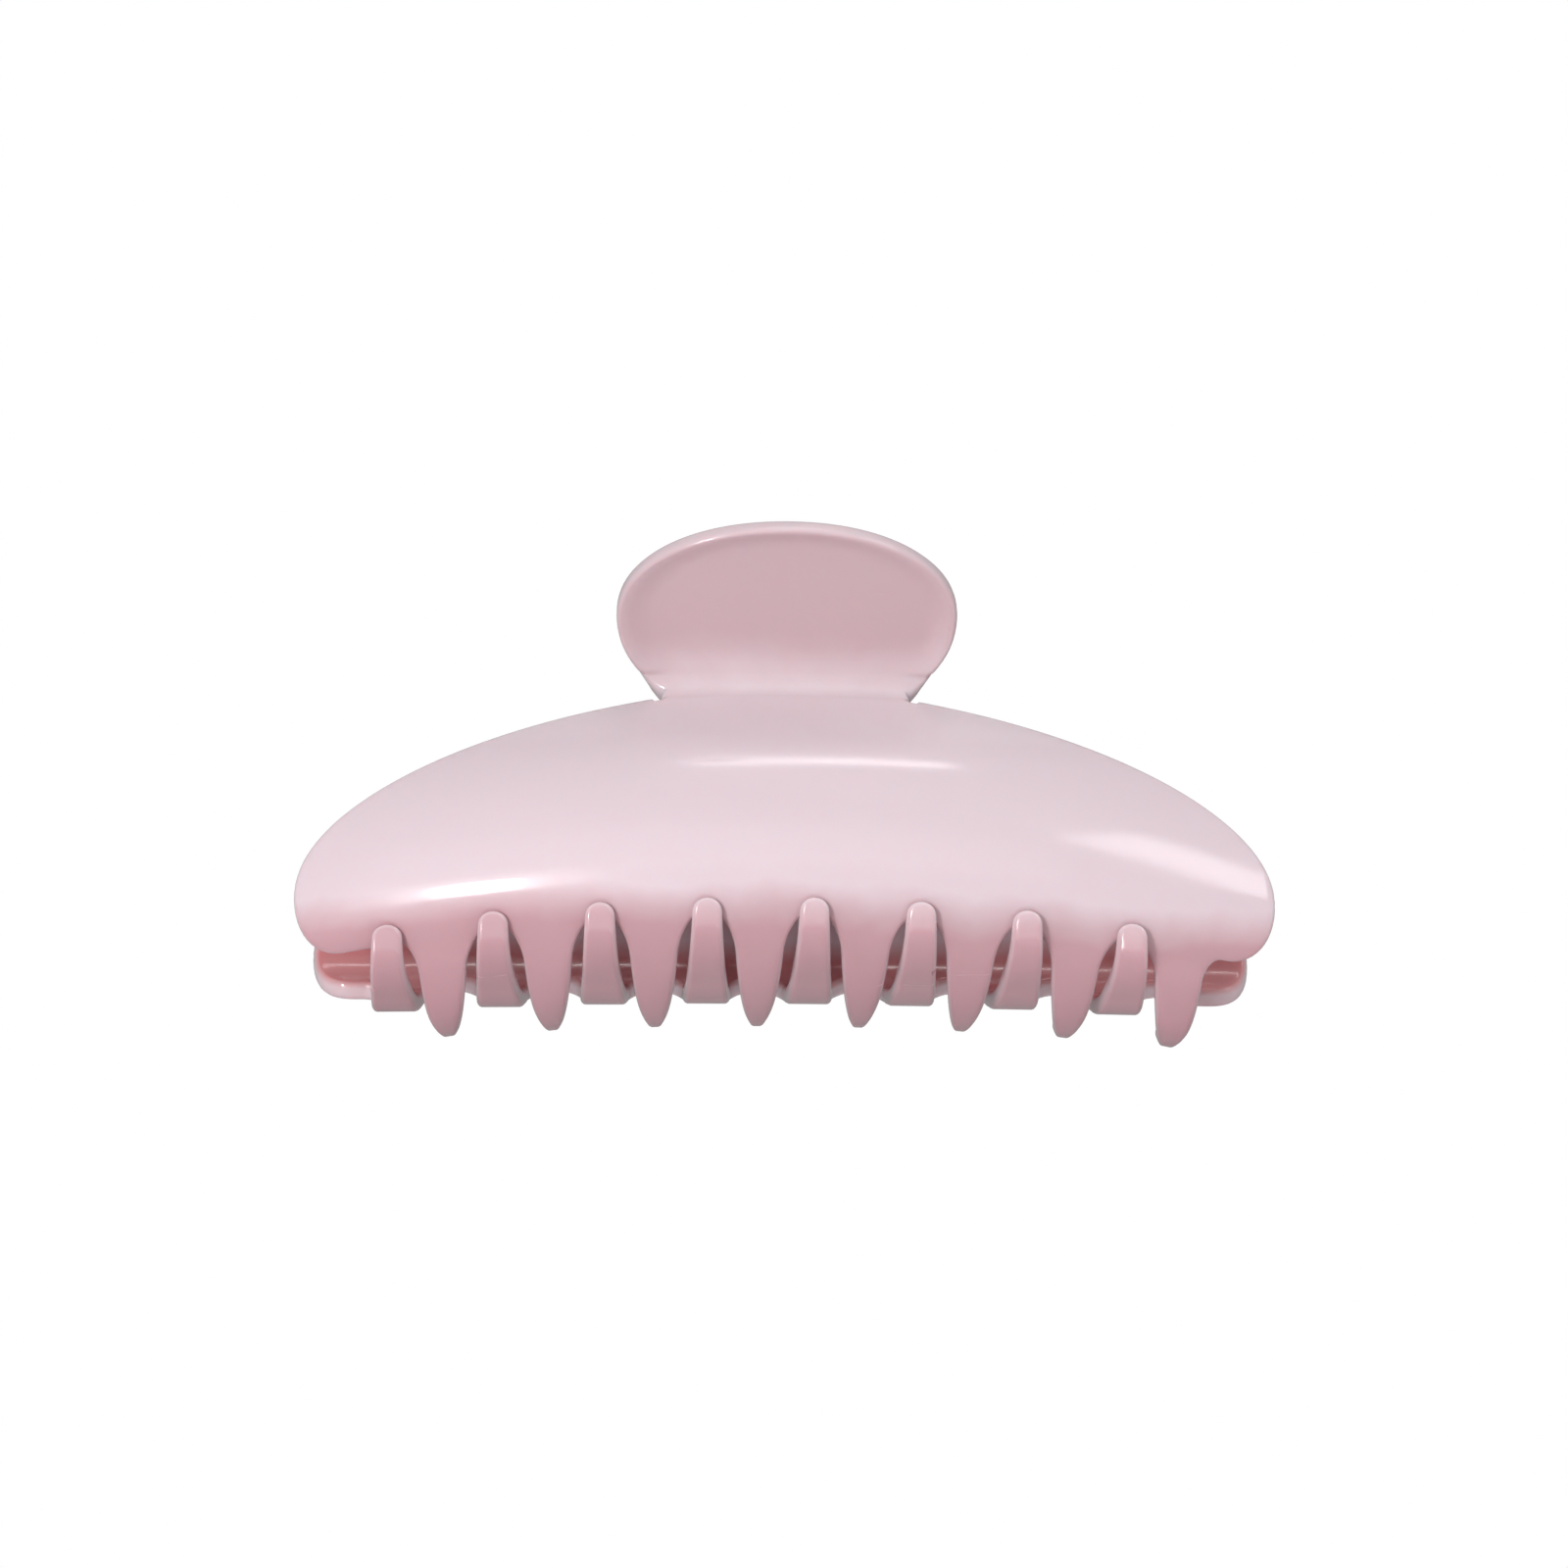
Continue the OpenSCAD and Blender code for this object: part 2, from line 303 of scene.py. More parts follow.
# the lower edge from +X to -X: teeth with round-topped gaps between them
def lowerEdge(teeth):
    points = []
    foot, rise = teeth["archFoot"], teeth["archHeight"]
    tipStart = teeth["length"] - teeth["tipHalf"]
    sideSteps = ceil((tipStart - foot) / teethSetup["sideStep"])
    archSteps, endRound = teethSetup["archSteps"], teethSetup["endRound"]
    for place in reversed(toothPlaces):
        if place == toothPlaces[-1]:
            side = place + toothHalf(teeth, foot)
            fillet = (side + teethSetup["filletWidth"], -shoulderLength - foot)
            points += ellipse(fillet, teethSetup["filletWidth"], foot - blank["edgeDrop"], 90, 170, 8)
        down = [foot + (tipStart - foot) * i / sideSteps for i in range(sideSteps + 1)]
        points += [(place + toothHalf(teeth, q), -shoulderLength - q) for q in down]
        tipHalf = toothHalf(teeth, tipStart)
        points += ellipse((place, -shoulderLength - tipStart), tipHalf, teeth["tipHalf"], -10, -170, 10)
        points += [(place - toothHalf(teeth, q), -shoulderLength - q) for q in reversed(down)]
        last = place == toothPlaces[0]
        for i in range(1, archSteps):
            angle = pi * i / archSteps
            below = foot - rise * sin(angle)
            if last and angle > pi / 2 and below > blank["edgeDrop"] - 0.5:
                break
            gapHalf = pitch / 2 - toothHalf(teeth, below)
            points.append((place - pitch / 2 + gapHalf * cos(angle), -shoulderLength - below))
    edge = points[-1]
    drop = blank["edgeDrop"] + shoulderLength + edge[1]
    points += ellipse((edge[0] - endRound, edge[1]), endRound, drop, -10, -80, 5)
    return points


def drawOutline(bm, teeth):
    right = upperHalf()
    points = right + lowerEdge(teeth) + [(-x, y) for x, y in reversed(right[1:])]
    corners = [bm.verts.new((x, y, 0)) for x, y in points]
    return bm.faces.new(corners)


def sliceSheet(bm, places, direction):
    for place in places:
        geom = bm.verts[:] + bm.edges[:] + bm.faces[:]
        bmesh.ops.bisect_plane(
            bm, geom=geom, dist=0.002, plane_co=Vector(direction) * place, plane_no=direction)


# rows lie closer together where the face turns fast
def rowPlaces(teeth):
    places = []
    along = -shoulderLength - teeth["length"] + blank["firstRow"]
    while along < tabOffset + blank["tabLength"]:
        places.append(along)
        near = smooth(abs(along - (creaseStart + tabStart) / 2), 1.6, 4)
        along += blank["fineCell"] + (blank["cell"] - blank["fineCell"]) * near
    return places


def columnPlaces():
    step = pitch / teethSetup["columns"]
    first = firstTooth - step * int((firstTooth + halfLength) / step)
    return [first + step * i for i in range(int(clipLength / step) + 1)]


# forming: where a point of the blank ends up
relief = {
    "dish": 0.95,             # hollow of the tab's face
    "dishBand": 0.2,
    "facet": 0.45,            # slope at the sides of a front tooth
    "capLength": 3.3,         # sloped end of a rear tooth
    "capDrop": 1.15,
    "tipThickness": 1.55,
    "toothThickness": 2.1,
    "creaseThickness": 2.9,
    "frontDrop": 0.3,
    "frontEndDrop": 0.8,
    "rearLift": 1.0,
    "rearOut": 0.8,
    "rearTabDroop": 1.0,      # the sides of the rear tab hang a little lower
    "rearFacet": 0.12,
    "toothReach": 31.4,       # reach across that the squeeze of the teeth near the ends is taken from
}


def nearestTooth(x):
    index = round((x - firstTooth) / pitch)
    return firstTooth + pitch * min(teethSetup["count"] - 1, max(0, index))


# 0 in the middle of the tab's face, 1 at its outline
def tabReach(x, along):
    if along < tabStart:
        return 0
    up = along - tabOffset - blank["tabWidest"]
    height = blank["tabLength"] - blank["tabWidest"] if up > 0 else blank["tabWidest"] + 6
    power = blank["tabPower"]
    return (abs(x / blank["tabHalfWidth"]) ** power + abs(up / height) ** power) ** (1 / power)


# how far the outer face lies under the plain profile
def hollowAt(x, along, teeth):
    if along > creaseStart:
        foot = smooth(along, tabStart - 1.5, tabStart + 3)
        return relief["dish"] * foot * (1 - smooth(tabReach(x, along), 1 - relief["dishBand"], 1.02))
    below = -along - shoulderLength
    if below <= 2:
        return 0
    side = abs(x - nearestTooth(x)) / toothHalf(teeth, below)
    if teeth is frontTeeth:
        side = max(side, 1.1 * smooth(below, teeth["length"] - 3, teeth["length"] - 0.8))
        return relief["facet"] * smooth(below, 4, 14) * smooth(side, 0.5, 1.1)
    cap = max(0, below - teeth["length"] + relief["capLength"]) / relief["capLength"]
    slope = relief["rearFacet"] * smooth(side, 0.75, 1.1)
    return relief["capDrop"] * cap * (0.8 + 0.2 * cap) + slope


def thicknessAt(x, along, teeth):
    below = -along - shoulderLength
    if below > -4:
        thick = profile["wall"] + (relief["toothThickness"] - profile["wall"]) * smooth(below, -4, 3)
        end = smooth(below, teeth["length"] - 12, teeth["length"] - 2)
        return thick + (relief["tipThickness"] - relief["toothThickness"]) * end
    neck = 1 - smooth(abs(along - (creaseStart + tabStart) / 2), 1, 5)
    return profile["wall"] + (relief["creaseThickness"] - profile["wall"]) * neck


def formed(x, along, depth, teeth):
    point, normal = profileAt(along)
    below = -along - shoulderLength
    reach = smooth(below, 0, 6)
    bent, turn = bowAt(x, point)
    flat = 1 - smooth(along, creaseStart - 2, tabStart + 2.5)
    if below > 0:
        bent = bowAt(x, rootPoint)[0]
        squeeze = bowAt(nearestTooth(x), rootPoint)[0] * cos(bowTilt) * 2 / relief["toothReach"]
        point = Vector((point.x + squeeze * (rootPoint.x - point.x) * reach, point.y))
        spread = smooth(below, 4, 16)
        if teeth is frontTeeth:
            point.y -= spread * (relief["frontDrop"] + relief["frontEndDrop"] * (x / 44) ** 2)
        else:
            outward = smooth(below, 20, 30)
            point.y += relief["rearLift"] * smooth(below, 0, 8) * (1 - outward)
            point.x -= relief["rearOut"] * outward
    bent *= flat
    turn *= flat * (1 - reach)
    out = point.x - bent * cos(bowTilt)
    up = point.y - bent * sin(bowTilt)
    radial = normal.x * cos(bowTilt) + normal.y * sin(bowTilt)
    axial = normal.y * cos(bowTilt) - normal.x * sin(bowTilt)
    sideways = radial * turn
    radial *= sqrt(1 - turn * turn)
    nOut = radial * cos(bowTilt) - axial * sin(bowTilt)
    nUp = radial * sin(bowTilt) + axial * cos(bowTilt)
    hollow = hollowAt(x, along, teeth)
    inside = hollow + depth * (thicknessAt(x, along, teeth) - hollow)
    return Vector((x - inside * sideways, -(out - inside * nOut), up - inside * nUp))


# a point of the edge's rounding at a step across the wall: [out from the face, share of depth]
def rimPoint(step):
    steps = blank["rimSteps"]
    share = blank["rimDepth"] / profile["wall"]
    half = steps // 2 - 1
    if step <= half:
        angle = pi / 2 * step / half
        return blank["rim"] * sin(angle), share * (1 - cos(angle))
    if step >= steps - half:
        angle = pi / 2 * (steps - step) / half
        return blank["rim"] * sin(angle), 1 - share * (1 - cos(angle))
    return blank["rim"], 0.5


# painted highlight: how pale the face is away from its edge, on the front tab's border and the rear teeth's
# ends, which turn up into the light
def paintedHighlightAt(x, along, teeth):
    if teeth is frontTeeth:
        return 0.35 * smooth(tabReach(x, along), 0.84, 0.97)
    capStart = teeth["length"] - relief["capLength"]
    return 0.4 * smooth(-along - shoulderLength, capStart - 0.3, capStart + 0.3)


def pressJaw(teeth):
    bm = bmesh.new()
    sheet = drawOutline(bm, teeth)
    bmesh.ops.recalc_face_normals(bm, faces=[sheet])
    inset = bmesh.ops.inset_individual(
        bm, faces=[sheet], thickness=blank["rim"], use_even_offset=True)
    bmesh.ops.delete(bm, geom=inset["faces"], context="FACES")
    sliceSheet(bm, rowPlaces(teeth), (0, 1, 0))
    sliceSheet(bm, columnPlaces(), (1, 0, 0))
    bmesh.ops.remove_doubles(bm, verts=bm.verts, dist=0.03)
    # the outline's own direction at each edge vertex
    outward = bm.verts.layers.float_vector.new("outward")
    for edge in bm.edges:
        if edge.is_boundary:
            a, b = edge.verts
            along = (b.co - a.co).normalized()
            across = Vector((along.y, -along.x, 0))
            if across.dot(edge.link_faces[0].calc_center_median() - a.co) > 0:
                across = -across
            for v in (a, b):
                v[outward] = v[outward] + across
    made = bmesh.ops.extrude_face_region(bm, geom=bm.faces[:])
    moved = [v for v in made["geom"] if isinstance(v, bmesh.types.BMVert)]
    bmesh.ops.translate(bm, verts=moved, vec=(0, 0, -1))
    uprights = [e for e in bm.edges if abs(e.verts[0].co.z - e.verts[1].co.z) > 0.5]
    steps = blank["rimSteps"]
    bmesh.ops.subdivide_edges(bm, edges=uprights, cuts=steps - 1, use_grid_fill=True)
    highlightMark = bm.verts.layers.float.new("rim")
    innerShadeMark = bm.verts.layers.float.new("inner")
    for v in bm.verts:
        across = v[outward]
        depth = -v.co.z
        x, along = v.co.x, v.co.y
        if across.length > 0.1:
            push, depth = rimPoint(round(depth * steps))
            x += across.normalized().x * push
            along += across.normalized().y * push
            v[highlightMark] = push / blank["rim"]
        # painted highlight on the rounded edges, the tab's border and the rear teeth's ends
        v[highlightMark] = max(v[highlightMark], paintedHighlightAt(x, along, teeth))
        v.co = formed(x, along, depth, teeth)
        if teeth is rearTeeth:
            droop = smooth(abs(x), 7, 14) * smooth(along, creaseStart, tabStart + 1)
            v.co.z -= relief["rearTabDroop"] * droop
        # painted shade: marks the inner face low down, where little light reaches
        v[innerShadeMark] = smooth(depth, 0.3, 0.9) * (1 - smooth(v.co.z, 11, 20))
    bm.verts.layers.float_vector.remove(outward)
    bmesh.ops.recalc_face_normals(bm, faces=bm.faces)
    return bm


def makeObject(name, bm, turned=False):
    if turned:
        bmesh.ops.rotate(bm, verts=bm.verts, matrix=Matrix.Rotation(pi, 3, "Z"))
    bmesh.ops.scale(bm, verts=bm.verts, vec=(mm, mm, mm))
    mesh = bpy.data.meshes.new(name)
    bm.to_mesh(mesh)
    bm.free()
    thing = bpy.data.objects.new(name, mesh)
    scene.collection.objects.link(thing)
    return thing


def smoothShade(thing, angle=48):
    thing.data.shade_smooth()
    thing.data.set_sharp_from_angle(angle=radians(angle))


# hinge ears, rails, spring and pin, in millimetres
ear = {
    "width": 2.6,
    "wall": 2,
    "gap": 0.4,
    "frontPlay": 0.06,
    "edge": 0.3,
    "shellReach": 7.2,        # how far the ear is drawn out to the shell
    "shellLean": 0.62,
    "shellRound": 0.45,
    "shellSpread": 1.05,
}
rail = {
    "width": 1,
    "length": 6,
    "height": 1,
    "sunk": 0.2,
    "edge": 0.3,
}
coil = {
    "wire": 1.2,
    "play": 1.2,
    "pitch": 1.04,            # in wire diameters
    "turns": 5,
    "sides": 14,
    "stepTurn": 10,
    "legReach": 10,
    "legClearance": 0.05,
    "legParts": 6,
    "bentLength": 1,
    "bentRadius": 3,
    "bentTurn": 22,
    "endEdge": 0.18,
}
pinShape = {
    "sides": 32,
    "parts": 8,
    "edge": 0.3,
    "hollow": 0.12,
}
hingeCentre = Vector((0, 0, hingeHeight))
wireRadius = coil["wire"] / 2
coilRadius = pinRadius + coil["play"] + wireRadius
legOffset = profile["wall"] + wireRadius + coil["legClearance"]
legEnd = tabPoint + tabDirection * coil["legReach"] - tabNormal * legOffset - Vector((0, hingeHeight))
legAngle = atan2(legEnd.y, legEnd.x) - asin(coilRadius / legEnd.length)
coilSweep = 2 * pi * (coil["turns"] + 1) - 2 * legAngle
coilLength = coil["pitch"] * coil["wire"] * coilSweep / (2 * pi)
innerEar = coilLength / 2 + wireRadius + ear["gap"]
outerEar = innerEar + ear["width"] + ear["gap"]


# an eye for the pin, drawn out to the shell on one side
def addEar(bm, start, boreRadius):
    eyeRadius = pinRadius + ear["wall"]
    outer = bmesh.ops.create_circle(bm, segments=40, radius=eyeRadius)["verts"]
    inner = bmesh.ops.create_circle(bm, segments=40, radius=boreRadius)["verts"]
    for v in outer:
        if v.co.x > 0:
            reach = ear["shellReach"] - ear["shellLean"] * v.co.y
            v.co.x = reach * (v.co.x / eyeRadius) ** ear["shellRound"]
            v.co.y *= ear["shellSpread"]
    loops = list({e for v in outer + inner for e in v.link_edges})
    made = bmesh.ops.bridge_loops(bm, edges=loops)["faces"]
    grown = bmesh.ops.extrude_face_region(bm, geom=made)["geom"]
    top = [v for v in grown if isinstance(v, bmesh.types.BMVert)]
    bmesh.ops.translate(bm, verts=top, vec=(0, 0, ear["width"]))
    verts = outer + inner + top
    flat = [e for e in {e for v in verts for e in v.link_edges}
            if e.calc_face_angle(0) > 1.2 and abs(e.verts[0].co.z - e.verts[1].co.z) < 0.1]
    made = bmesh.ops.bevel(
        bm, geom=flat, offset=ear["edge"], offset_type="OFFSET", segments=3, profile=0.5,
        affect="EDGES", material=-1, clamp_overlap=True)
    verts = list({v for v in verts + made["verts"] if v.is_valid})
    stand = Matrix(((0, 0, 1), (-1, 0, 0), (0, 1, 0)))
    bmesh.ops.rotate(bm, verts=verts, matrix=stand)
    bmesh.ops.translate(bm, verts=verts, vec=hingeCentre + Vector((start, 0, 0)))


def addRail(bm, x):
    made = bmesh.ops.create_cube(bm, size=1)["verts"]
    height = rail["height"] + 2 * rail["sunk"]
    bmesh.ops.scale(bm, verts=made, vec=(rail["width"], rail["length"], height))
    edges = list({e for v in made for e in v.link_edges})
    made = bmesh.ops.bevel(
        bm, geom=edges, offset=rail["edge"], offset_type="OFFSET", segments=3, profile=0.5,
        affect="EDGES", material=-1, clamp_overlap=True)["verts"]
    middle = tabOffset + coil["legReach"] + 1 - rail["length"] / 2
    for v in made:
        point, normal = profileAt(middle + v.co.y)
        point = point - normal * (profile["wall"] + rail["height"] / 2 - rail["sunk"] + v.co.z)
        v.co = Vector((x + v.co.x, -point.x, point.y))


def addFittings(jaw, play, turned):
    bm = bmesh.new()
    addEar(bm, -outerEar - ear["width"], pinRadius + play)
    addEar(bm, innerEar, pinRadius + play)
    reach = wireRadius + ear["gap"] + rail["width"] / 2
    for side in (-1, 1):
        addRail(bm, -coilLength / 2 + side * reach)
    bmesh.ops.recalc_face_normals(bm, faces=bm.faces)
    fittings = makeObject("fittings", bm, turned)
    union = jaw.modifiers.new("fittings", "BOOLEAN")
    union.operation = "UNION"
    union.solver = "EXACT"
    union.object = fittings
    bpy.context.view_layer.objects.active = jaw
    bpy.ops.object.modifier_apply(modifier=union.name)
    bpy.data.objects.remove(fittings)


def capEnds(bm, offset, segments):
    rims = [e for e in bm.edges if e.is_boundary]
    caps = bmesh.ops.holes_fill(bm, edges=rims, sides=0)["faces"]
    bmesh.ops.bevel(
        bm, geom=list({e for f in caps for e in f.edges}), offset=offset, offset_type="OFFSET",
        segments=segments, profile=0.5, affect="EDGES", material=-1, clamp_overlap=True)
    bmesh.ops.recalc_face_normals(bm, faces=bm.faces)


# the wire's round section is turned about the hinge and moved along it, then drawn out into two legs
def windSpring():
    bm = bmesh.new()
    startAngle = pi / 2 - legAngle
    ring = bmesh.ops.create_circle(bm, segments=coil["sides"], radius=wireRadius)["verts"]
    heading = Vector((0, sin(startAngle), -cos(startAngle)))
    bmesh.ops.rotate(bm, verts=ring, matrix=heading.to_track_quat("Z", "X").to_matrix())
    place = Vector((-coilLength / 2, coilRadius * cos(startAngle), coilRadius * sin(startAngle)))
    bmesh.ops.translate(bm, verts=ring, vec=hingeCentre + place)
    steps = ceil(degrees(coilSweep) / coil["stepTurn"])
    firstEdges = bm.edges[:]
    wound = bmesh.ops.spin(
        bm, geom=firstEdges, cent=hingeCentre, axis=(1, 0, 0), dvec=(coilLength / steps, 0, 0),
        angle=-coilSweep, steps=steps, use_duplicate=False)["geom_last"]
    lastEdges = [e for e in wound if isinstance(e, bmesh.types.BMEdge)]
    legLength = sqrt(legEnd.length_squared - coilRadius ** 2) - coil["bentLength"]
    for edges, side in ((firstEdges, -1), (lastEdges, 1)):
        lift = Vector((0, side * cos(legAngle), sin(legAngle)))
        for part in range(coil["legParts"]):
            grown = bmesh.ops.extrude_edge_only(bm, edges=edges)["geom"]
            edges = [e for e in grown if isinstance(e, bmesh.types.BMEdge) and e.is_boundary]
            verts = list({v for e in edges for v in e.verts})
            bmesh.ops.translate(bm, verts=verts, vec=lift * legLength / coil["legParts"])
        # the last stretch lifts off the tab
        middle = sum((v.co for v in verts), Vector()) / len(verts)
        centre = middle + Vector((0, -side * sin(legAngle), cos(legAngle))) * coil["bentRadius"]
        bmesh.ops.spin(
            bm, geom=edges, cent=centre, axis=(1, 0, 0), angle=side * radians(coil["bentTurn"]),
            steps=4, use_duplicate=False)
    capEnds(bm, coil["endEdge"], 3)
    return bm


def turnPin():
    bm = bmesh.new()
    ring = bmesh.ops.create_circle(bm, segments=pinShape["sides"], radius=pinRadius)["verts"]
    bmesh.ops.rotate(bm, verts=ring, matrix=Matrix.Rotation(pi / 2, 3, "Y"))
    bmesh.ops.translate(bm, verts=ring, vec=hingeCentre - Vector((pinLength / 2, 0, 0)))
    edges = bm.edges[:]
    for part in range(pinShape["parts"]):
        grown = bmesh.ops.extrude_edge_only(bm, edges=edges)["geom"]
        edges = [e for e in grown if isinstance(e, bmesh.types.BMEdge) and e.is_boundary]
        verts = list({v for e in edges for v in e.verts})
        bmesh.ops.translate(bm, verts=verts, vec=(pinLength / pinShape["parts"], 0, 0))
    capEnds(bm, pinShape["edge"], 4)
    # the cropped ends are slightly hollow
    ends = [f for f in bm.faces if len(f.verts) > 8]
    for end in ends:
        bmesh.ops.inset_individual(
            bm, faces=[end], thickness=pinShape["edge"], depth=-pinShape["hollow"])
    return bm


# materials
def newGroup(name, inputs, outputs):
    group = bpy.data.node_groups.new(name, "ShaderNodeTree")
    for socketName, kind, value in inputs:
        socket = group.interface.new_socket(socketName, in_out="INPUT", socket_type=kind)
        socket.default_value = value
    for socketName, kind in outputs:
        group.interface.new_socket(socketName, in_out="OUTPUT", socket_type=kind)
    return group, group.nodes.new("NodeGroupInput"), group.nodes.new("NodeGroupOutput")


def addNode(tree, kind, **settings):
    node = tree.nodes.new(kind)
    for key, value in settings.items():
        if key in node.inputs:
            node.inputs[key].default_value = value
        else:
            setattr(node, key, value)
    return node


def spreadBetween(tree, value, low, high, fromMin, fromMax):
    node = tree.nodes.new("ShaderNodeMapRange")
    node.inputs["From Min"].default_value = fromMin
    node.inputs["From Max"].default_value = fromMax
    node.inputs["To Min"].default_value = low
    node.inputs["To Max"].default_value = high
    tree.links.new(value, node.inputs["Value"])
    return node.outputs["Result"]


def mixColours(tree, factor, a, b):
    node = tree.nodes.new("ShaderNodeMix")
    node.data_type = "RGBA"
    tree.links.new(factor, node.inputs["Factor"])
    for value, socket in ((a, node.inputs[6]), (b, node.inputs[7])):
        if isinstance(value, tuple):
            socket.default_value = value
        else:
            tree.links.new(value, socket)
    return node.outputs[2]


# slow clouds between two colours
def makeClouding():
    group, given, out = newGroup(
        "clouding",
        [("Colour", "NodeSocketColor", (1, 1, 1, 1)), ("Second Colour", "NodeSocketColor", (1, 1, 1, 1)),
         ("Cloud Scale", "NodeSocketFloat", 45), ("Amount", "NodeSocketFloat", 0.5)],
        [("Colour", "NodeSocketColor")])
    coords = addNode(group, "ShaderNodeTexCoord")
    clouds = addNode(group, "ShaderNodeTexNoise", Detail=4, Roughness=0.55, Distortion=0.4)
    group.links.new(coords.outputs["Object"], clouds.inputs["Vector"])
    group.links.new(given.outputs["Cloud Scale"], clouds.inputs["Scale"])
    mask = spreadBetween(group, clouds.outputs["Fac"], 0, 1, 0.3, 0.7)
    scaled = addNode(group, "ShaderNodeMath", operation="MULTIPLY")
    group.links.new(mask, scaled.inputs[0])
    group.links.new(given.outputs["Amount"], scaled.inputs[1])
    mixed = mixColours(group, scaled.outputs[0], given.outputs["Colour"], given.outputs["Second Colour"])
    group.links.new(mixed, out.inputs["Colour"])
    return group


# crossing scratches in worn patches over a fine grain, as a roughness and a height
def makeFineWear():
    group, given, out = newGroup(
        "fineWear",
        [("Base Roughness", "NodeSocketFloat", 0.15), ("Scratch Roughness", "NodeSocketFloat", 0.1),
         ("Grain Scale", "NodeSocketFloat", 900), ("Stretch", "NodeSocketVector", (40, 900, 900))],
        [("Roughness", "NodeSocketFloat"), ("Height", "NodeSocketFloat")])
    coords = addNode(group, "ShaderNodeTexCoord")
    lines = []
    for turn in (0.35, -0.9):
        mapping = addNode(group, "ShaderNodeMapping", vector_type="POINT")
        mapping.inputs["Rotation"].default_value = (turn, turn * 0.7, turn)
        group.links.new(coords.outputs["Object"], mapping.inputs["Vector"])
        group.links.new(given.outputs["Stretch"], mapping.inputs["Scale"])
        streaks = addNode(group, "ShaderNodeTexNoise", Scale=1, Detail=2, Roughness=0.5)
        group.links.new(mapping.outputs["Vector"], streaks.inputs["Vector"])
        lines.append(spreadBetween(group, streaks.outputs["Fac"], 0, 1, 0.66, 0.74))
    both = addNode(group, "ShaderNodeMath", operation="MAXIMUM")
    group.links.new(lines[0], both.inputs[0])
    group.links.new(lines[1], both.inputs[1])
    patches = addNode(group, "ShaderNodeTexNoise", Scale=70, Detail=3)
    group.links.new(coords.outputs["Object"], patches.inputs["Vector"])
    worn = spreadBetween(group, patches.outputs["Fac"], 0, 1, 0.42, 0.62)
    scratches = addNode(group, "ShaderNodeMath", operation="MULTIPLY")
    group.links.new(both.outputs[0], scratches.inputs[0])
    group.links.new(worn, scratches.inputs[1])
    added = addNode(group, "ShaderNodeMath", operation="MULTIPLY_ADD")
    group.links.new(scratches.outputs[0], added.inputs[0])
    group.links.new(given.outputs["Scratch Roughness"], added.inputs[1])
    group.links.new(given.outputs["Base Roughness"], added.inputs[2])
    drift = spreadBetween(group, patches.outputs["Fac"], -0.02, 0.03, 0.3, 0.7)
    roughness = addNode(group, "ShaderNodeMath", operation="ADD")
    group.links.new(added.outputs[0], roughness.inputs[0])
    group.links.new(drift, roughness.inputs[1])
    grain = addNode(group, "ShaderNodeTexNoise", Detail=2)
    group.links.new(coords.outputs["Object"], grain.inputs["Vector"])
    group.links.new(given.outputs["Grain Scale"], grain.inputs["Scale"])
    height = addNode(group, "ShaderNodeMath", operation="MULTIPLY_ADD")
    group.links.new(scratches.outputs[0], height.inputs[0])
    height.inputs[1].default_value = -1
    group.links.new(grain.outputs["Fac"], height.inputs[2])
    group.links.new(roughness.outputs[0], out.inputs["Roughness"])
    group.links.new(height.outputs[0], out.inputs["Height"])
    return group


clouding = makeClouding()
fineWear = makeFineWear()


def placeGroup(tree, group, **values):
    node = tree.nodes.new("ShaderNodeGroup")
    node.node_tree = group
    for key, value in values.items():
        node.inputs[key.replace("_", " ")].default_value = value
    return node


plasticLook = {
    # height in millimetres, colour: painted shade and sheen, deeper and darker pink in the teeth and in the
    # tab, which face downward, and paler on the body
    "paintedShadeTones": [
        (0, (0.55, 0.30, 0.34, 1)),
        (6.5, (0.60, 0.35, 0.39, 1)),
        (10.5, (0.76, 0.62, 0.67, 1)),
        (29, (0.71, 0.59, 0.635, 1)),
        (36, (0.79, 0.68, 0.72, 1)),
        (43, (0.62, 0.44, 0.475, 1)),
    ],
    "innerShadePink": (0.6, 0.22, 0.23, 1),
    "highlightPink": (0.83, 0.74, 0.78, 1),
    "speck": (0.45, 0.3, 0.3, 1),
    "roughness": 0.14,
    "scatter": 0.25,
    "scatterDepth": 0.0012,
}


# painted shade and sheen: colours by height, with slow clouds
def makePaintedShadeByHeight():
    group, given, out = newGroup(
        "paintedShadeByHeight", [("Amount", "NodeSocketFloat", 0.5)], [("Colour", "NodeSocketColor")])
    coords = addNode(group, "ShaderNodeTexCoord")
    split = addNode(group, "ShaderNodeSeparateXYZ")
    group.links.new(coords.outputs["Object"], split.inputs[0])
    clouds = addNode(group, "ShaderNodeTexNoise", Scale=38, Detail=4, Roughness=0.55, Distortion=0.4)
    group.links.new(coords.outputs["Object"], clouds.inputs["Vector"])
    wander = spreadBetween(group, clouds.outputs["Fac"], -0.0015, 0.0015, 0.3, 0.7)
    scaled = addNode(group, "ShaderNodeMath", operation="MULTIPLY_ADD")
    group.links.new(wander, scaled.inputs[0])
    group.links.new(given.outputs["Amount"], scaled.inputs[1])
    group.links.new(split.outputs["Z"], scaled.inputs[2])
    top = plasticLook["paintedShadeTones"][-1][0]
    share = spreadBetween(group, scaled.outputs[0], 0, 1, 0, top * mm)
    ramp = addNode(group, "ShaderNodeValToRGB")
    ramp.color_ramp.interpolation = "LINEAR"
    while len(ramp.color_ramp.elements) < len(plasticLook["paintedShadeTones"]):
        ramp.color_ramp.elements.new(0.5)
    for element, (height, colour) in zip(ramp.color_ramp.elements, plasticLook["paintedShadeTones"]):
        element.position = height / top
        element.color = colour
    group.links.new(share, ramp.inputs["Fac"])
    group.links.new(ramp.outputs["Color"], out.inputs["Colour"])
    return group


paintedShadeByHeight = makePaintedShadeByHeight()


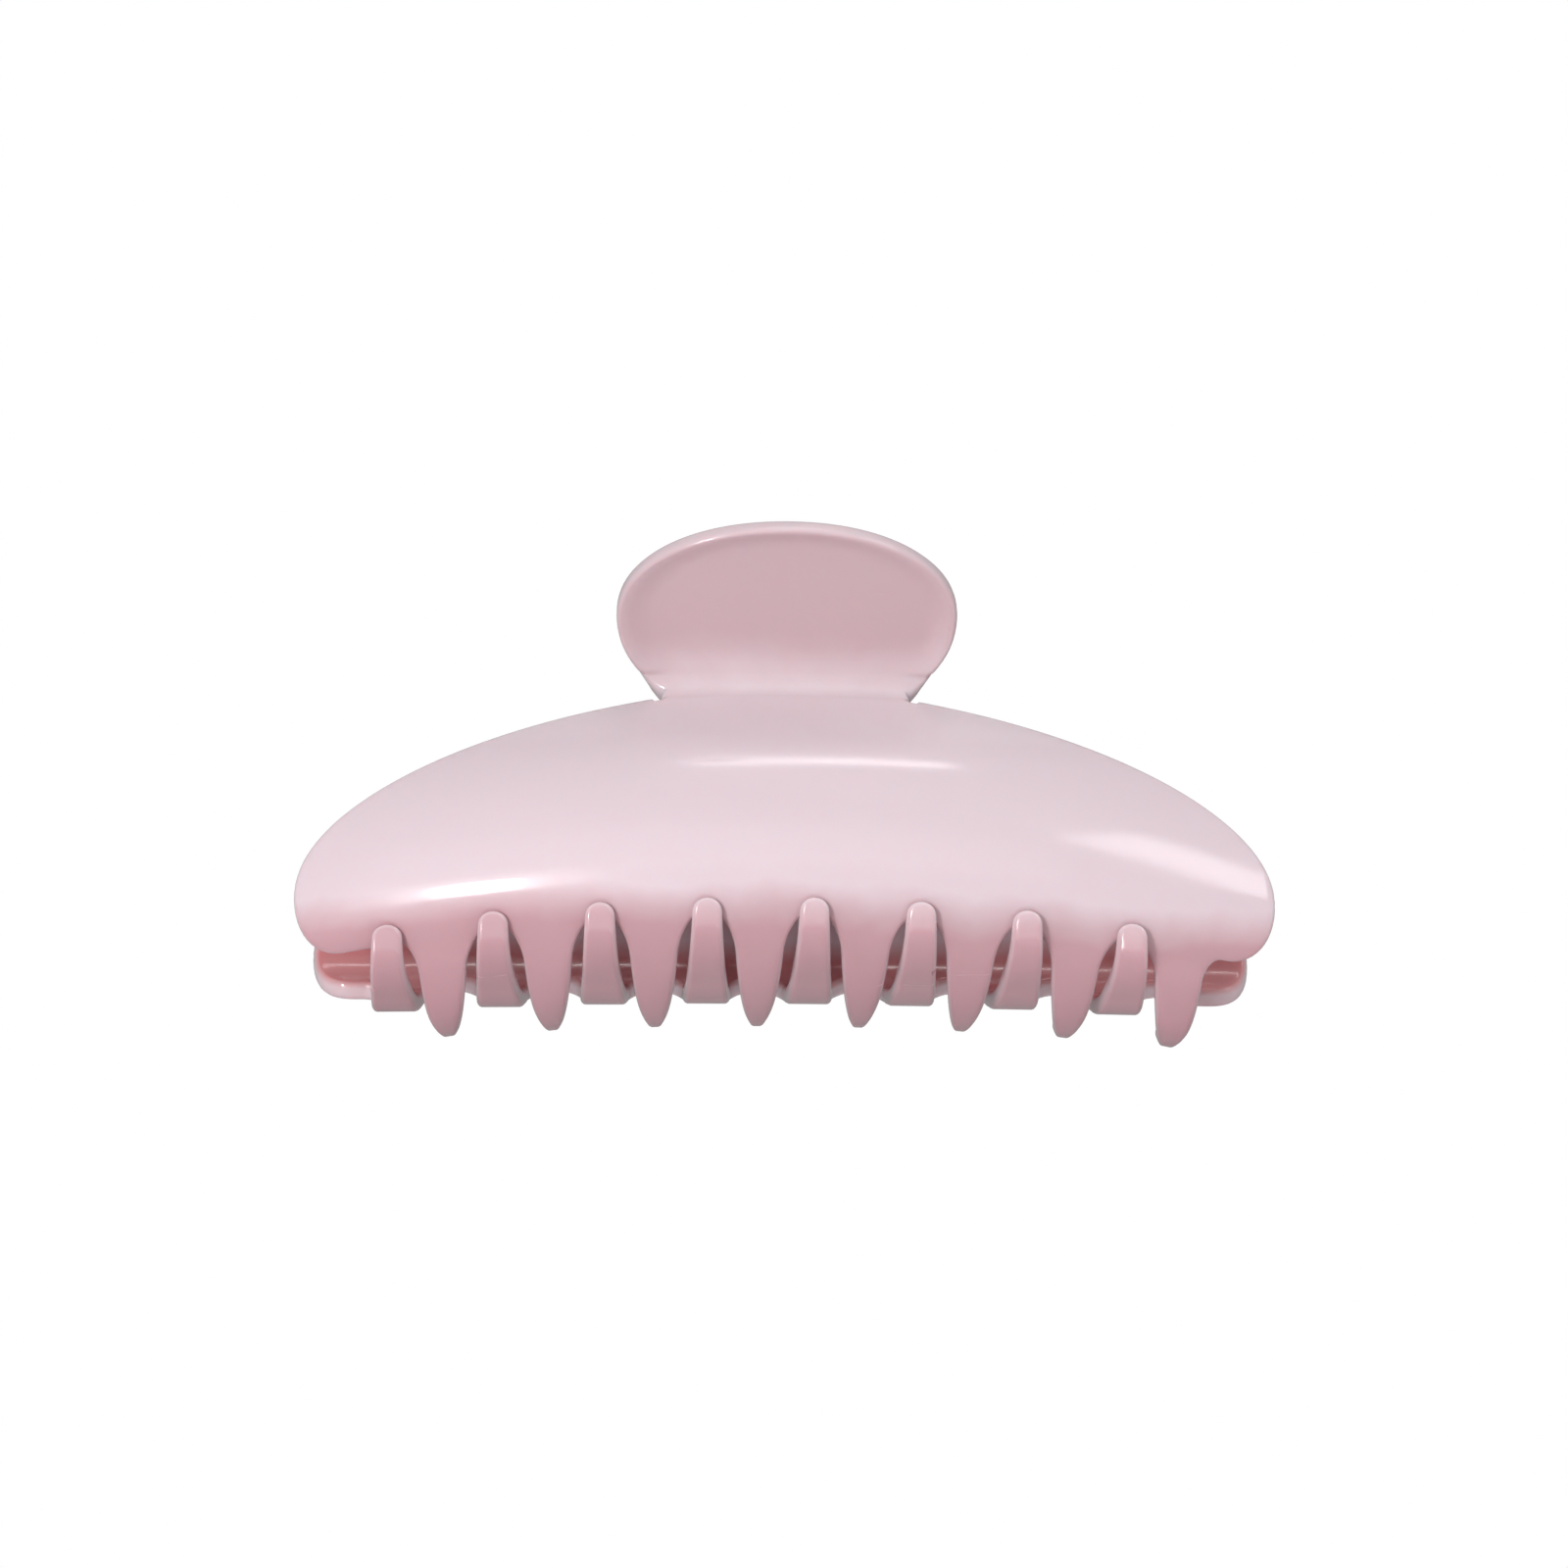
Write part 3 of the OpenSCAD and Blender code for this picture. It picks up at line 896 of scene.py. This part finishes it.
def makePlastic(look):
    material = bpy.data.materials.new("pinkPlastic")
    material.use_nodes = True
    tree = material.node_tree
    shader = tree.nodes["Principled BSDF"]
    shader.inputs["IOR"].default_value = 1.49
    shader.inputs["Subsurface Weight"].default_value = look["scatter"]
    shader.inputs["Subsurface Scale"].default_value = look["scatterDepth"]
    shader.inputs["Subsurface Radius"].default_value = (1.0, 0.34, 0.3)
    # painted shade and sheen by height as the base colour
    heightShade = placeGroup(tree, paintedShadeByHeight, Amount=1)
    # painted shade and painted highlight: the inner face, low down, is deeper and darker pink where little
    # light reaches it, and the rounded edges are paler where they catch the light
    inner = addNode(tree, "ShaderNodeAttribute", attribute_name="inner")
    inside = spreadBetween(tree, inner.outputs["Fac"], 0, 1, 0.55, 0.95)
    colour = mixColours(tree, inside, heightShade.outputs["Colour"], look["innerShadePink"])
    # painted highlight: paler colour on the rounded edges, the tab's border and the rear teeth's ends
    rim = addNode(tree, "ShaderNodeAttribute", attribute_name="rim")
    edge = spreadBetween(tree, rim.outputs["Fac"], 0, 0.5, 0.2, 1)
    colour = mixColours(tree, edge, colour, look["highlightPink"])
    # a few specks in the plastic
    coords = addNode(tree, "ShaderNodeTexCoord")
    cells = addNode(tree, "ShaderNodeTexVoronoi", Scale=75)
    tree.links.new(coords.outputs["Object"], cells.inputs["Vector"])
    speck = spreadBetween(tree, cells.outputs["Distance"], 0.7, 0, 0.012, 0.022)
    colour = mixColours(tree, speck, colour, look["speck"])
    tree.links.new(colour, shader.inputs["Base Color"])
    wear = placeGroup(
        tree, fineWear, Base_Roughness=look["roughness"], Scratch_Roughness=0.12, Grain_Scale=650)
    tree.links.new(wear.outputs["Roughness"], shader.inputs["Roughness"])
    bump = addNode(tree, "ShaderNodeBump", Strength=0.12, Distance=0.00005)
    tree.links.new(wear.outputs["Height"], bump.inputs["Height"])
    tree.links.new(bump.outputs["Normal"], shader.inputs["Normal"])
    return material


def makeSteel(name, colour, second, roughness, stretch):
    material = bpy.data.materials.new(name)
    material.use_nodes = True
    tree = material.node_tree
    shader = tree.nodes["Principled BSDF"]
    shader.inputs["Metallic"].default_value = 1
    cloud = placeGroup(
        tree, clouding, Colour=colour, Second_Colour=second, Cloud_Scale=260, Amount=0.8)
    tree.links.new(cloud.outputs["Colour"], shader.inputs["Base Color"])
    wear = placeGroup(
        tree, fineWear, Base_Roughness=roughness, Scratch_Roughness=0.25, Grain_Scale=3000, Stretch=stretch)
    tree.links.new(wear.outputs["Roughness"], shader.inputs["Roughness"])
    bump = addNode(tree, "ShaderNodeBump", Strength=0.25, Distance=0.00004)
    tree.links.new(wear.outputs["Height"], bump.inputs["Height"])
    tree.links.new(bump.outputs["Normal"], shader.inputs["Normal"])
    return material


plastic = makePlastic(plasticLook)
springSteel = makeSteel(
    "springSteel", (0.62, 0.62, 0.64, 1), (0.5, 0.49, 0.48, 1), 0.26, (1200, 160, 160))
pinSteel = makeSteel(
    "pinSteel", (0.7, 0.7, 0.71, 1), (0.58, 0.58, 0.6, 1), 0.22, (60, 1800, 1800))
print("materials ready")


# the four pieces
def makeJaw(name, node, body, teeth, play, turned):
    jaw = makeObject(name, pressJaw(teeth), turned)
    addFittings(jaw, play, turned)
    smoothShade(jaw)
    jaw.data.materials.clear()
    jaw.data.materials.append(plastic)
    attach(jaw, body)
    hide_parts(node)
    print(name, "ready with", len(jaw.data.polygons), "faces")


makeJaw("frontShell", "front_jaw", "front", frontTeeth, ear["frontPlay"], False)
makeJaw("rearShell", "rear_jaw", "rear", rearTeeth, 0, True)

spring = makeObject("coilSpring", windSpring())
smoothShade(spring)
spring.data.materials.append(springSteel)
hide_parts("torsion_spring")
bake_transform(spring)

pin = makeObject("steelPin", turnPin())
smoothShade(pin)
pin.data.materials.append(pinSteel)
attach(pin, "rear")
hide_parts("hinge_pin")
print("spring and pin ready")

# light and floor
studio = {
    "above": 0.36,
    "below": 0.31,
    "floorDrop": 0.3,
    "floorSize": 6,
    "floorColour": (0.95, 0.95, 0.95, 1),
    "floorSecond": (0.91, 0.91, 0.92, 1),
    "lampAim": 0.025,
}
# name, azimuth, elevation, distance, width, height, power
lamps = [
    ("frontFill", -5, 12, 1.2, 1.2, 0.9, 2.05),
    ("shoulderGlint", -22.5, -17, 0.6, 0.045, 0.17, 1.3),
    ("shoulderGlow", -22.5, -16, 0.6, 0.16, 0.34, 0.34),
    ("window", 50, 54.8, 1, 1.15, 0.93, 1.5),
    ("windowEdge", 40, 28, 1, 0.36, 0.17, 0.95),
    ("crescent", 9, 65, 0.8, 0.26, 0.04, 0.3),
]
windowEdgeNormal = Vector((0.518, 0.651, 0.554))


def addLamp(name, azimuth, elevation, distance, width, height, power):
    data = bpy.data.lights.new(name, "AREA")
    data.shape = "RECTANGLE"
    data.size, data.size_y, data.energy = width, height, power
    lamp = bpy.data.objects.new(name, data)
    scene.collection.objects.link(lamp)
    a, e = radians(azimuth), radians(elevation)
    away = Vector((sin(a) * cos(e), -cos(a) * cos(e), sin(e)))
    if name.startswith("window"):
        # both window lamps start at the same straight edge
        up = windowEdgeNormal
        edge = (away - up * away.dot(up)).normalized()
        half = atan2(height / 2, distance)
        away = edge * cos(half) + up * sin(half)
        side = up.cross(away).normalized()
        lamp.rotation_euler = Matrix((side, away.cross(side), away)).transposed().to_euler()
    else:
        lamp.rotation_euler = (-away).to_track_quat("-Z", "Y").to_euler()
    lamp.location = away * distance + Vector((0, 0, studio["lampAim"]))


for lamp in lamps:
    addLamp(*lamp)

scene.view_settings.view_transform = "Standard"


# the world lights the clip dimly but looks white to the camera
def lightWorld():
    world = bpy.data.worlds.new("studio")
    scene.world = world
    world.use_nodes = True
    tree = world.node_tree
    background = tree.nodes["Background"]
    plain = addNode(tree, "ShaderNodeBackground", Color=(1, 1, 1, 1), Strength=1)
    coords = addNode(tree, "ShaderNodeTexCoord")
    split = addNode(tree, "ShaderNodeSeparateXYZ")
    tree.links.new(coords.outputs["Generated"], split.inputs[0])
    strength = spreadBetween(tree, split.outputs["Z"], studio["below"], studio["above"], -0.5, 0.6)
    tree.links.new(strength, background.inputs["Strength"])
    background.inputs["Color"].default_value = (1, 1, 1, 1)
    path = addNode(tree, "ShaderNodeLightPath")
    chosen = addNode(tree, "ShaderNodeMixShader")
    tree.links.new(path.outputs["Is Camera Ray"], chosen.inputs[0])
    tree.links.new(background.outputs[0], chosen.inputs[1])
    tree.links.new(plain.outputs[0], chosen.inputs[2])
    tree.links.new(chosen.outputs[0], tree.nodes["World Output"].inputs["Surface"])


def layFloor():
    bm = bmesh.new()
    bmesh.ops.create_grid(bm, x_segments=8, y_segments=8, size=studio["floorSize"] / 2 / mm)
    bmesh.ops.translate(bm, verts=bm.verts, vec=(0, 0, -studio["floorDrop"] / mm))
    floor = makeObject("floor", bm)
    floorPaint = bpy.data.materials.new("floorPaint")
    floorPaint.use_nodes = True
    tree = floorPaint.node_tree
    cloud = placeGroup(
        tree, clouding, Colour=studio["floorColour"], Second_Colour=studio["floorSecond"],
        Cloud_Scale=3, Amount=0.5)
    tree.links.new(cloud.outputs["Colour"], tree.nodes["Principled BSDF"].inputs["Base Color"])
    tree.nodes["Principled BSDF"].inputs["Roughness"].default_value = 0.8
    floor.data.materials.append(floorPaint)


lightWorld()
layFloor()
print("light and floor ready")
